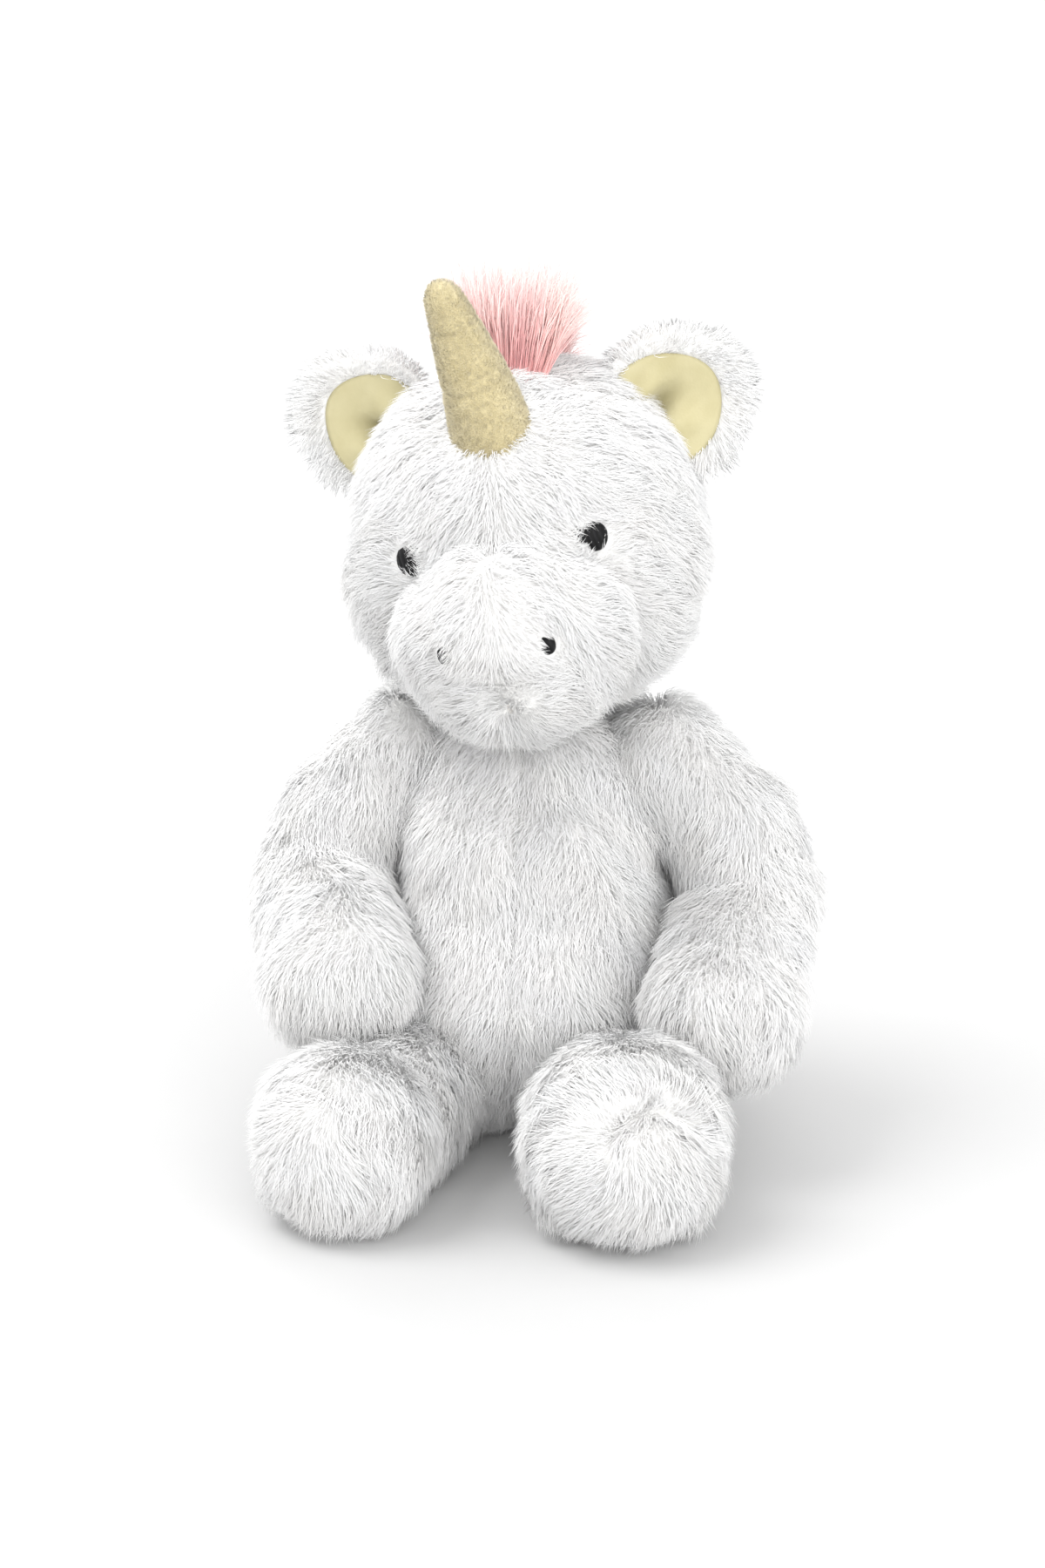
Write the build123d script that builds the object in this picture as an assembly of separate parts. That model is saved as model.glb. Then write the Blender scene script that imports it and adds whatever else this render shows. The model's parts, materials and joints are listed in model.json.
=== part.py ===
from build123d import *
import math
import os

# A seated plush unicorn. Millimetres, +Z up. It faces -Y, so its own left side is +X.
# The origin is on the floor, at the middle of the flat patch that it sits on.

# --- driving dimensions -------------------------------------------------------------
FABRIC = 1.6            # thickness of the plush cloth, its backing and the roots of its pile
GAP = 0.5               # room between a moving piece and the hollow that it turns in
BIG = 400.0             # size of the boxes that cut a shape into panels

# Torso: a pear, which is two balls and the cone around them, cut flat underneath.
BELLY_Z = 42.0
BELLY_R = 46.0
CHEST_Z = 97.0
CHEST_R = 21.0
SEAT_POUCH_R = 25.0
SEAT_POUCH_Z = 27.0

# Neck: a ball of stuffing between the torso and the head; both turn on its centre.
NECK_Z = 120.0
NECK_R = 13.0

# Head, in its own frame: centre at the middle of the skull, facing -Y.
HEAD_CENTRE = (-1.0, -5.0, 163.0)
HEAD_TURN = -1.0        # degrees about Z
HEAD_BOW = 7.5          # degrees about X, nose down
HEAD_LEAN = -8.0        # degrees about Y, towards the unicorn's right
SKULL_R = 44.0
MUZZLE_R = 27.5
MUZZLE_CENTRE = (0, -37, -11)
GUSSET_HALF = 15.0      # the strip from the nose over the crown
CHIN_TOP = -18.0        # the chin panel is everything below this

EYE_R = 4.2
EYE_AROUND = 34.0       # degrees from straight ahead
EYE_UP = 11.0
NOSTRIL_R = 1.9
NOSTRIL_AROUND = 31.0   # degrees about the muzzle's centre
NOSTRIL_UP = 3.0
MOUTH_R = 2.0
MOUTH_UP = -36.0
EMBROIDERY = 1.0        # how far the satin stitch stands off the cloth

HORN_BASE_R = 10.6
HORN_TIP_R = 4.2
HORN_LENGTH = 44.0
HORN_UP = 60.0          # degrees above straight ahead, where it stands on the skull
HORN_TILT = 15.0        # degrees forward
HORN_LEAN = -3.5        # degrees sideways

MANE_HALF = 7.0         # half the width of the strip that the mane grows from
MANE_BACKING = 1.0
MANE_FRONT_Y = -8.0     # where the strip starts, just behind the horn
MANE_BOTTOM_Z = 12.0
CROWN_TUFT = [((0, 3, 44), 12.0), ((0, 9, 62), 6.5)]
NAPE_PILE = [((0, 14, 44), 10.0), ((0, 43, 16), 7.5)]

EAR_R = 17.0
EAR_THICK = 6.4
LINING_R = 12.5
LINING_THICK = 1.5
EAR_AROUND = 101.0      # degrees from straight ahead, where the ear's root lies
EAR_UP = {"left": 32.0, "right": 37.0}
EAR_ROOT_R = 3.0
EAR_ROOT_LENGTH = 18.0
EAR_GAP = 1.4

# Limbs: (centre, radius) of each ball that the limb's outline runs through.
SHOULDER = (35.5, 0, 100)
SHOULDER_R = 16.5
DISH_DEPTH = 15.6       # the dish around each shoulder, measured in from the shoulder's middle
DISH_LENGTH = 17.4
DISH_INNER_R = 8.0
DISH_OUTER_R = 30.0
ARM = {
    "left": [((35.5, 0, 100), 16.5), ((60.5, -9, 69), 14.2), ((56, -44, 46), 18.0)],
    "right": [((-35.5, 0, 100), 16.5), ((-56, -12, 72), 14.2), ((-47, -47, 53), 18.5)],
}
ARM_SEAM_IN = 2.0       # how far inside the elbow's middle the seam runs
ARM_SEAM_TILT = 8.0
HIP = (25, -32, 18)
THIGH_R = 17.0
ANKLE = (32, -70, 19)
ANKLE_R = 18.0
FOOT = (37, -82, 26)
FOOT_R = 25.5
FOOT_SPLAY = 12.0       # degrees that each foot points outwards
SOLE_FROM = 13.0        # the sole panel starts this far in front of the foot's middle
LEG_SEAM_Z = 20.0

# Tail: a cloth tab that turns at the back seam, with a long-pile tuft around it.
TAIL_ROOT = (0, 44.5, 34)
TAIL_ROOT_R = 3.0
TAIL_GAP = 1.0
TAIL_TIP = (0, 67.5, 11.5)
TAIL_TIP_R = 8.5
TAB_END = (0, 52, 27)
TAB_END_R = 2.0

# Small things on the back.
THREAD_R = 0.35
STITCHES = 7
STITCH_LENGTH = 4.0
STITCH_FROM_Z = 62.0
STITCH_PITCH = 3.5
LABEL = (14.0, 0.5, 10.0)
LABEL_AROUND = 125.0    # degrees from straight ahead, on the unicorn's left
LABEL_Z = 30.0


# --- general shapes -----------------------------------------------------------------
def bone(start, start_r, end, end_r):
    """Two balls and the smooth cone that touches both, as one solid of revolution."""
    a, b = Vector(*start), Vector(*end)
    length = (b - a).length
    slope = math.asin((start_r - end_r) / length)
    low = (start_r * math.cos(slope), start_r * math.sin(slope))
    high = (end_r * math.cos(slope), length + end_r * math.sin(slope))
    half = (math.pi / 2 + slope) / 2
    low_mid = (start_r * math.sin(half), -start_r * math.cos(half))
    half = (math.pi / 2 - slope) / 2
    high_mid = (end_r * math.sin(half), length + end_r * math.cos(half))
    outline = [
        ThreePointArc((0, -start_r), low_mid, low),
        Line(low, high),
        ThreePointArc(high, high_mid, (0, length + end_r)),
        Line((0, length + end_r), (0, -start_r)),
    ]
    section = Plane.XZ * make_face(outline)
    return Plane(origin=a, z_dir=b - a) * revolve(section, Axis.Z)


def limb(balls, inset):
    """A limb through its three balls, drawn in by inset all round."""
    (a, ra), (b, rb), (c, rc) = balls
    upper = bone(a, ra - inset, b, rb - inset)
    lower = bone(b, rb - inset + 0.15, c, rc - inset)
    return upper + lower


def slab(axis, low, high):
    """All space between two heights along one axis."""
    size = [BIG, BIG, BIG]
    middle = [0, 0, 60]
    at = "XYZ".index(axis)
    size[at] = high - low
    middle[at] = (low + high) / 2
    return Pos(*middle) * Box(*size)


def on_ball(radius, around, up, side=1):
    """A point on a ball: around from straight ahead (-Y), up from level; side is +1 for +X."""
    a, u = math.radians(around), math.radians(up)
    flat = radius * math.cos(u)
    return (side * flat * math.sin(a), -flat * math.cos(a), radius * math.sin(u))


def save(name, solid):
    solid.label = name
    export_step(solid, f"parts/{name}.step")


# --- torso --------------------------------------------------------------------------
def pear(inset):
    shape = bone((0, 0, BELLY_Z), BELLY_R - inset, (0, 0, CHEST_Z), CHEST_R - inset)
    return shape & slab("Z", inset, BIG / 2)


def hip_hollow(side, spare):
    """The room that one thigh needs in the torso, from sitting down to standing."""
    reach = THIGH_R + spare
    back = HIP[1] + reach
    hip, ankle = ((side * x, y, z) for x, y, z in (HIP, ANKLE))
    thigh = bone(hip, reach, ankle, ANKLE_R + spare)
    under = Pos(side * HIP[0], back - BIG / 2, HIP[2] - BIG / 2) * Box(2 * reach, BIG, BIG)
    return thigh + under


def shoulder_hollows(side, spare):
    """A ball hollow and a wider dish around it, so that the upper arm swings past."""
    ball = Pos(side * SHOULDER[0], SHOULDER[1], SHOULDER[2]) * Sphere(SHOULDER_R + spare)
    start = Pos(side * (SHOULDER[0] - DISH_DEPTH - spare), SHOULDER[1], SHOULDER[2])
    on_floor = (Align.CENTER, Align.CENTER, Align.MIN)
    dish = Cone(DISH_INNER_R + spare, DISH_OUTER_R + spare, DISH_LENGTH, align=on_floor)
    return [ball, start * Rot(Y=side * 90) * dish]


def torso_cuts(spare):
    """Everything that the limbs, the neck and the tail turn in, grown by spare."""
    neck = Pos(0, 0, NECK_Z) * Sphere(NECK_R + spare)
    tail_root = Pos(*TAIL_ROOT) * Sphere(TAIL_ROOT_R + TAIL_GAP + spare)
    cuts = [neck, tail_root]
    for side in (1, -1):
        cuts += shoulder_hollows(side, spare)
        cuts.append(hip_hollow(side, spare))
    return cuts


def torso():
    outer = pear(0)
    for cut in torso_cuts(GAP):
        outer -= cut
    inner = pear(FABRIC)
    for cut in torso_cuts(GAP + FABRIC):
        inner -= cut
    cloth = outer - inner
    for half, low, high in (("belly", -BIG / 2, 0), ("back", 0, BIG / 2)):
        for side, left, right in (("left", 0, BIG / 2), ("right", -BIG / 2, 0)):
            save(f"{half}_panel_{side}", cloth & slab("Y", low, high) & slab("X", left, right))
    pouch = Pos(0, 8, SEAT_POUCH_Z) * Sphere(SEAT_POUCH_R)
    pellets = Pos(0, 8, SEAT_POUCH_Z) * Sphere(SEAT_POUCH_R - 0.6)
    pouch &= inner
    pellets &= inner
    save("torso_stuffing", inner - pouch)
    save("seat_pellet_pouch", pouch - pellets)
    save("seat_pellets", pellets)


# --- neck and head ------------------------------------------------------------------
def head_place():
    return Pos(*HEAD_CENTRE) * Rot(Z=HEAD_TURN) * Rot(X=HEAD_BOW) * Rot(Y=HEAD_LEAN)


def skull(inset):
    return Sphere(SKULL_R - inset) + Pos(*MUZZLE_CENTRE) * Sphere(MUZZLE_R - inset)


def neck_hollow(spare):
    """The hollow for the neck, in the head's frame."""
    return head_place().inverse() * (Pos(0, 0, NECK_Z) * Sphere(NECK_R + spare))


def ear_frame(name):
    """Origin on the hinge at the ear's root; X outwards, Y back, Z along the hinge."""
    side = 1 if name == "left" else -1
    root = Vector(*on_ball(SKULL_R, EAR_AROUND, EAR_UP[name], side))
    flat = Vector(root.X, 0, root.Z).normalized()
    return Plane(origin=root, x_dir=flat, z_dir=flat.cross(Vector(0, 1, 0)))


def ear_groove(name, spare):
    return ear_frame(name) * Cylinder(EAR_ROOT_R + spare, EAR_ROOT_LENGTH + 2 * spare)


def embroidered(radius, ball_centre, ball_r, around, up, side):
    """A round patch of satin stitch that lies on a ball."""
    centre = Vector(*ball_centre)
    out = Vector(*on_ball(1.0, around, up, side))
    patch = Plane(origin=centre + out * ball_r, z_dir=out) * Cylinder(radius, 6 * EMBROIDERY)
    layer = Sphere(ball_r + EMBROIDERY) - Sphere(ball_r)
    return patch & (Pos(*ball_centre) * layer)


def horn_frame():
    root = Vector(*on_ball(SKULL_R, 0, HORN_UP))
    return Pos(*root) * Rot(X=HORN_TILT) * Rot(Y=HORN_LEAN)


def horn(inset):
    shape = bone((0, 0, -6), HORN_BASE_R - inset, (0, 0, HORN_LENGTH - HORN_TIP_R), HORN_TIP_R - inset)
    return horn_frame() * shape - Sphere(SKULL_R)


def head():
    place = head_place()
    outer = skull(0) - neck_hollow(GAP)
    inner = skull(FABRIC) - neck_hollow(GAP + FABRIC)
    for name in ("left", "right"):
        outer -= ear_groove(name, EAR_GAP)
        inner -= ear_groove(name, EAR_GAP + FABRIC)
    cloth = outer - inner
    chin = cloth & Pos(0, 0, CHIN_TOP - BIG / 2) * Box(BIG, BIG, BIG)
    upper = cloth - Pos(0, 0, CHIN_TOP - BIG / 2) * Box(BIG, BIG, BIG)
    save("chin_panel", place * chin)
    save("forehead_gusset", place * (upper & Box(2 * GUSSET_HALF, BIG, BIG)))
    for name, side in (("left", 1), ("right", -1)):
        cheek = Pos(side * (GUSSET_HALF + BIG / 2), 0, 0) * Box(BIG, BIG, BIG)
        save(f"head_side_{name}", place * (upper & cheek))
    save("head_stuffing", place * inner)
    save("horn_cover", place * (horn(0) - horn(FABRIC * 0.6)))
    save("horn_stuffing", place * horn(FABRIC * 0.6))
    muzzle = Pos(*MUZZLE_CENTRE) * Sphere(MUZZLE_R)
    for name, side in (("left", 1), ("right", -1)):
        eye = embroidered(EYE_R, (0, 0, 0), SKULL_R, EYE_AROUND, EYE_UP, side) - muzzle
        save(f"eye_{name}", place * eye)
        nostril = embroidered(NOSTRIL_R, MUZZLE_CENTRE, MUZZLE_R, NOSTRIL_AROUND, NOSTRIL_UP, side)
        save(f"nostril_{name}", place * nostril)
    save("neck_stuffing", Pos(0, 0, NECK_Z) * Sphere(NECK_R))


def mouth():
    """The pinch under the nose, as the patch of thread that draws it in."""
    stitch = embroidered(MOUTH_R, MUZZLE_CENTRE, MUZZLE_R, 0, MOUTH_UP, 1)
    save("mouth_stitch", head_place() * stitch)


def mane():
    """A strip over the crown and down the nape, and the long pile that stands on it."""
    layer = Sphere(SKULL_R + MANE_BACKING) - Sphere(SKULL_R)
    strip = layer & Box(2 * MANE_HALF, BIG, BIG) & slab("Y", MANE_FRONT_Y, BIG / 2)
    strip &= slab("Z", MANE_BOTTOM_Z, BIG)
    strip -= horn(0)
    (crown, crown_r), (peak, peak_r) = CROWN_TUFT
    (top, top_r), (nape, nape_r) = NAPE_PILE
    pile = bone(crown, crown_r, peak, peak_r) + bone(top, top_r, nape, nape_r)
    pile = pile - Sphere(SKULL_R + MANE_BACKING) - horn(0)
    save("mane_backing", head_place() * strip)
    save("mane_pile", head_place() * pile)


def ears():
    upright = Rot(X=90)
    for name in ("left", "right"):
        frame = ear_frame(name)
        disc = Pos(EAR_R, 0, 0) * upright * Cylinder(EAR_R, EAR_THICK)
        root = Cylinder(EAR_ROOT_R, EAR_ROOT_LENGTH)
        front = -(EAR_THICK - LINING_THICK) / 2
        lining = Pos(EAR_R, front, 0) * upright * Cylinder(LINING_R, LINING_THICK)
        save(f"ear_back_{name}", head_place() * (frame * (disc + root - lining)))
        save(f"ear_lining_{name}", head_place() * (frame * lining))


# --- limbs and tail -----------------------------------------------------------------
def arms():
    """Each arm is two panels, sewn along a seam that faces front and back, and its stuffing."""
    for name, balls in ARM.items():
        side = 1 if name == "left" else -1
        inside = limb(balls, FABRIC)
        cloth = limb(balls, 0) - inside
        elbow = balls[1][0]
        seam = Pos(elbow[0] - side * ARM_SEAM_IN, 0, 0) * Rot(Y=-side * ARM_SEAM_TILT)
        away = seam * Pos(side * BIG / 2, 0, 60) * Box(BIG, BIG, BIG)
        save(f"arm_outer_panel_{name}", cloth & away)
        save(f"arm_inner_panel_{name}", cloth - away)
        save(f"arm_stuffing_{name}", inside)


def legs():
    """Each leg is a top and an under panel, a round sole, and its stuffing."""
    for name, side in (("left", 1), ("right", -1)):
        places = [(HIP, THIGH_R), (ANKLE, ANKLE_R), (FOOT, FOOT_R)]
        balls = [((side * x, y, z), r) for (x, y, z), r in places]
        inside = limb(balls, FABRIC)
        cloth = limb(balls, 0) - inside
        toe = Pos(*balls[2][0]) * Rot(Z=side * FOOT_SPLAY)
        ahead = toe * Pos(0, -SOLE_FROM - BIG / 2, 0) * Box(BIG, BIG, BIG)
        tube = cloth - ahead
        save(f"foot_sole_{name}", cloth & ahead)
        save(f"leg_top_panel_{name}", tube & slab("Z", LEG_SEAM_Z, BIG / 2))
        save(f"leg_under_panel_{name}", tube & slab("Z", -BIG / 2, LEG_SEAM_Z))
        save(f"leg_stuffing_{name}", inside)


def tail():
    tab = bone(TAIL_ROOT, TAIL_ROOT_R, TAB_END, TAB_END_R)
    pile = bone(TAIL_ROOT, TAIL_ROOT_R - 0.4, TAIL_TIP, TAIL_TIP_R) - tab
    save("tail_tab", tab)
    save("tail_pile", pile)


def small_things():
    """The hand-sewn closing of the back seam, and the blank care label."""
    share = (BELLY_R - CHEST_R) / (CHEST_Z - BELLY_Z)
    slope = math.asin(share)
    stitches = []
    for i in range(STITCHES):
        z = STITCH_FROM_Z + i * STITCH_PITCH
        out = (BELLY_R - (z - BELLY_Z) * share) / math.cos(slope)
        stitch = Rot(Y=90) * Cylinder(THREAD_R, STITCH_LENGTH)
        stitches.append(Pos(0, out + 1.5 * THREAD_R, z) * stitch)
    save("back_closing_thread", Compound(stitches))
    around = math.radians(LABEL_AROUND)
    reach = math.sqrt(BELLY_R**2 - (LABEL_Z - BELLY_Z) ** 2) + LABEL[0] / 2 + 1.0
    place = Pos(reach * math.sin(around), -reach * math.cos(around), LABEL_Z)
    save("care_label", place * Rot(Z=LABEL_AROUND - 90) * Box(*LABEL))


def main():
    os.makedirs("parts", exist_ok=True)
    torso()
    head()
    mouth()
    mane()
    ears()
    arms()
    legs()
    tail()
    small_things()


main()
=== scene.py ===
import json
import math

import bpy
import numpy as np
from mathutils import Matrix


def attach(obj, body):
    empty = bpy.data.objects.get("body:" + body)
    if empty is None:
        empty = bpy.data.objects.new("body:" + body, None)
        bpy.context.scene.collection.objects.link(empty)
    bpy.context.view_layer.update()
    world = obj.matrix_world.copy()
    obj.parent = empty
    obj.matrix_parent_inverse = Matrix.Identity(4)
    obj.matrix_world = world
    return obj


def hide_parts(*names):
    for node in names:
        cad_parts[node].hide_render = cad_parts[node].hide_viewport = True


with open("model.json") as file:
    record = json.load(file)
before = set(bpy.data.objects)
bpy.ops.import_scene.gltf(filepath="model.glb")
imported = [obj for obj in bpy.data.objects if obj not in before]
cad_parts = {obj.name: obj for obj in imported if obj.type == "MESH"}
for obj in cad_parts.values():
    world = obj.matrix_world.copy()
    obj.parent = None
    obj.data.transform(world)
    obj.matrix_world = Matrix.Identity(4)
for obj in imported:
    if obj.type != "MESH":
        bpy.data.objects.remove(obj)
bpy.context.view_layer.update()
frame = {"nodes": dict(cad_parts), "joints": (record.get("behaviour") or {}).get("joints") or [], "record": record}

import openvdb
from mathutils import Matrix, Vector
from mathutils.bvhtree import BVHTree
from mathutils.kdtree import KDTree

# Shapes are worked out in millimetres in the row frame, and turned to metres in make_mesh().
# The toy faces -Y, and its own left side is +X.
MM = 0.001
SIDES = {"left": 1, "right": -1}
JOINTS = {j["name"]: j for j in frame["joints"]}
SLOTS = {s["node"]: s["material_slot"] for s in frame["record"]["subparts"]}


def joint_at(name):
    return np.array(JOINTS[name]["pos_m"]) / MM


# --- the shape under the pile -------------------------------------------------------
# Each chain is a run of balls (centre, radius); the surface is drawn tight over it.
TORSO = [((0, 0, 42), 45.5), ((0, 0, 70), 34.5), ((0, 0, 97), 22.5)]
SHOULDER_PAD = [((17, 0, 96), 15.0), ((27, 1, 86), 12.0)]
ARMS = {
    "left": [((35, 0, 101), 15.5), ((53, -4, 85), 15.4), ((61, -11, 67), 15.0), ((56, -42, 46), 18.2)],
    "right": [
        ((-35, 0, 101), 15.5), ((-49.5, -5, 86), 15.2), ((-57, -13, 70), 15.0), ((-46, -47, 52.5), 18.3),
    ],
}
LEGS = {
    "left": [
        ((25, -32, 18), 17.2), ((31, -62, 19), 18.0),
        ((35.2, -85.5, 23.4), 22.4), ((35.2, -83.5, 26.6), 22.6),
    ],
    "right": [
        ((-25, -32, 18), 17.2), ((-31, -62, 19), 17.4),
        ((-37, -88, 20.5), 19.7), ((-37, -87, 24.5), 19.9),
    ],
}
LEG_SEAM = 20.0         # height of the seam between a leg's top and under panels
FLOOR_GAP = 0.4         # nothing of the toy comes lower than this
FEET = {                # middle of each sole, and how far it turns outwards
    "left": (np.array((35.2, -84.5, 25.0)), math.radians(8)),
    "right": (np.array((-37.0, -87.5, 22.5)), math.radians(28)),
}
SOLE_FROM = {"left": 12.0, "right": 10.0}   # the sole's seam, ahead of the middle of the foot
DIMPLE = (6.0, 1.5, 10.5)   # middle and radius of the gathered fold on the left sole

HEAD_CENTRE = np.array((-1.0, -5.0, 163.0))
HEAD_SPIN = Matrix.Rotation(math.radians(-1.0), 3, "Z")
SKULL = [((0, 0, 0), 44.0), ((0, 1, 3), 43.5)]
CHEEKS = [((-20, -9, -12), 23.0), ((20, -9, -12), 23.0)]
MUZZLE = [((-5, -32, -12), 24.5), ((5, -32, -12), 24.5), ((0, -40, -13), 25.0)]
HORN_ROOT = np.array((0.0, -22.0, 38.1))
CHIN_TOP = -18.0        # height of the chin panel's seam in the head's frame
GUSSET_HALF = 15.0      # half the width of the forehead gusset
EYE_AT = {s: np.array((k * 24.5, -37.5, 8.5)) for s, k in SIDES.items()}
NOSTRIL_AT = {s: np.array((k * 13.5, -60.0, -9.0)) for s, k in SIDES.items()}
MOUTH_AT = np.array((0, -60.0, -27.0))


def head_matrix():
    """Turns the head's own frame into the row frame, the same way as the CAD head stands."""
    bow = Matrix.Rotation(math.radians(7.5), 3, "X")
    lean = Matrix.Rotation(math.radians(-8.0), 3, "Y")
    return np.array(HEAD_SPIN @ bow @ lean)


HEAD = head_matrix()


def from_head(points):
    return np.asarray(points, float) @ HEAD.T + HEAD_CENTRE


def to_head(points):
    return (np.asarray(points, float) - HEAD_CENTRE) @ HEAD


def unit(v):
    return v / np.maximum(np.linalg.norm(v, axis=-1, keepdims=True), 1e-9)


def smooth_step(low, high, x):
    t = np.clip((x - low) / (high - low), 0, 1)   # low may be above high, to fade out
    return t * t * (3 - 2 * t)


def chain_distance(points, balls):
    """Distance to a chain of balls joined by cones; negative inside."""
    best = None
    for (a, ra), (b, rb) in zip(balls, balls[1:]):
        a, b = np.array(a, float), np.array(b, float)
        axis = b - a
        share = np.clip((points - a) @ axis / (axis @ axis), 0, 1)
        gap = points - a - share[:, None] * axis
        d = np.linalg.norm(gap, axis=1) - (ra + (rb - ra) * share)
        best = d if best is None else melt(best, d, 3.0)
    return best


def melt(a, b, width):
    """The nearer of two distances, with the crease between them filled over width."""
    h = np.clip(0.5 + 0.5 * (b - a) / width, 0, 1)
    return b + (a - b) * h - width * h * (1 - h)


class Ripple:
    """A smooth random field from -1 to 1, the same on every run."""

    def __init__(self, seed, wavelength, waves=7):
        random = np.random.default_rng(seed)
        self.k = unit(random.normal(size=(waves, 3))) * (2 * math.pi / wavelength)
        self.k *= random.uniform(0.6, 1.6, (waves, 1))
        self.phase = random.uniform(0, 2 * math.pi, waves)

    def __call__(self, points):
        return np.sin(points @ self.k.T + self.phase).sum(axis=1) / math.sqrt(len(self.k)) / 1.2


LUMPS = Ripple(3, 34.0)


def torso_field(p):
    d = chain_distance(p, TORSO)
    for side in SIDES.values():
        pad = [((side * x, y, z), r) for (x, y, z), r in SHOULDER_PAD]
        d = melt(d, chain_distance(p, pad), 8.0)
    seam = 0.9 * np.exp(-(p[:, 0] / 2.2) ** 2)
    return np.maximum(d + seam + 0.5 * LUMPS(p), FLOOR_GAP - p[:, 2])


def head_field(p):
    q = to_head(p)
    skull = chain_distance(q, SKULL)
    cheeks = np.minimum(*(chain_distance(q, [c, ((0, -10, -10), 26.0)]) for c in CHEEKS))
    muzzle = chain_distance(q, MUZZLE)
    behind = melt(skull, cheeks, 8.0)
    aside = smooth_step(11, 21, abs(q[:, 0]))
    crease = 2.6 * aside * np.exp(-(((behind - muzzle) / 4.0) ** 2))
    d = melt(behind, muzzle, 4.5) + crease
    pinch = np.linalg.norm((q - np.array((0, -59, -27))) * (1.6, 0.8, 0.8), axis=1)
    sockets = 0
    for eye in EYE_AT.values():
        away = np.linalg.norm(q - eye, axis=1)
        sockets = sockets + 1.6 * np.exp(-((away / 8.0) ** 2))
    return d + 5.0 * np.exp(-((pinch / 6.0) ** 2)) + sockets + 0.5 * LUMPS(p)


def arm_field(side):
    def field(p):
        return chain_distance(p, ARMS[side]) + 0.6 * LUMPS(p)
    return field


def sole_place(p, side):
    """Where points are on the sole: how far ahead of the foot's middle, to its left, and up."""
    centre, splay = FEET[side]
    turn = SIDES[side] * splay
    forward = np.array((math.sin(turn), -math.cos(turn), 0))
    across = np.array((math.cos(turn), math.sin(turn), 0))
    return (p - centre) @ forward, (p - centre) @ across, p[:, 2] - centre[2]


def leg_field(side):
    def field(p):
        ahead, across, up = sole_place(p, side)
        gather = 1.3 * np.exp(-(((ahead - SOLE_FROM[side]) / 2.0) ** 2))
        if side == "left":
            middle, above, radius = DIMPLE
            away = np.hypot(across - middle, up - above) - radius
            angle = np.degrees(np.arctan2(up - above, across - middle))
            on_arc = smooth_step(5, 35, angle) * smooth_step(175, 140, angle) * (ahead > 5)
            gather = gather + 3.2 * on_arc * np.exp(-((away / 2.2) ** 2))
        return np.maximum(chain_distance(p, LEGS[side]) + gather + 0.5 * LUMPS(p), FLOOR_GAP - p[:, 2])
    return field


def slope(field, points, step=0.4):
    """Outward unit normals of a distance field."""
    out = np.empty_like(points)
    for axis in range(3):
        move = np.zeros(3)
        move[axis] = step
        out[:, axis] = field(points + move) - field(points - move)
    return unit(out)


FAR_OUTSIDE = 20.0      # the distance that the grid holds where nothing is near


def surface(field, low, high, voxel=1.8):
    """The surface of a field, as points in millimetres and quads."""
    low = np.array(low, float)
    axes = [np.arange(a, b + voxel, voxel) for a, b in zip(low, high)]
    grid = np.stack(np.meshgrid(*axes, indexing="ij"), -1)
    shape = grid.shape[:3]
    values = field(grid.reshape(-1, 3)).reshape(shape).astype(np.float32)
    volume = openvdb.FloatGrid(FAR_OUTSIDE)
    volume.copyFromArray(values)
    points, quads = volume.convertToQuads(isovalue=0.0)
    points = points.astype(float) * voxel + low
    for _ in range(3):
        points -= slope(field, points) * field(points)[:, None]
    a, b, c = (points[quads[:, i]] for i in (0, 1, 2))
    middle = points[quads].mean(axis=1)
    if (np.cross(b - a, c - a) * slope(field, middle)).sum() < 0:
        quads = quads[:, ::-1]
    return points, quads


# --- meshes and pieces --------------------------------------------------------------
def stands_for(piece, *nodes):
    """The piece hides these CAD nodes."""
    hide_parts(*nodes)


def make_mesh(name, points, faces, look=None):
    mesh = bpy.data.meshes.new(name)
    mesh.from_pydata((np.asarray(points) * MM).tolist(), [], [list(map(int, f)) for f in faces])
    mesh.update()
    for polygon in mesh.polygons:
        polygon.use_smooth = True
    piece = bpy.data.objects.new(name, mesh)
    if look:
        mesh.materials.append(look)
    bpy.context.scene.collection.objects.link(piece)
    return piece


def some_faces(points, quads, keep):
    """The part of a mesh whose quads are kept, with its points renumbered."""
    quads = quads[keep]
    used, new = np.unique(quads, return_inverse=True)
    return points[used], new.reshape(quads.shape)


def cloth(name, node, body, points, quads, keep, look):
    """One sewn panel: an outer face, a turned-in edge and an inner face."""
    p, q = some_faces(points, quads, keep)
    piece = make_mesh(name, p, q, look)
    thick = piece.modifiers.new("cloth", "SOLIDIFY")
    thick.thickness = 1.0 * MM
    thick.offset = -1
    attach(piece, body)
    stands_for(piece, node)
    return piece


# --- stuffing by cloth simulation -----------------------------------------------------
SLACK = 1.2             # the cloth is cut this much smaller than the finished shape
STUFF_FRAMES = 20
WORK_SCALE = 10         # the simulation works on a bigger copy, where the solver is steady
MOST_PUFF = 2.6         # no point of the cloth moves further than this
EVENING = 4             # rounds of averaging that soften the simulated wrinkles
ELSEWHERE = 50.0        # added to a seam's distance where that seam doesn't run


def evened(values, quads):
    """Each point's value, averaged with those of the quads around it."""
    total, count = np.zeros_like(values), np.zeros((len(values), 1))
    middle = values[quads].mean(axis=1)
    for k in range(4):
        np.add.at(total, quads[:, k], middle)
        np.add.at(count, quads[:, k], 1)
    return total / np.maximum(count, 1)


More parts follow.
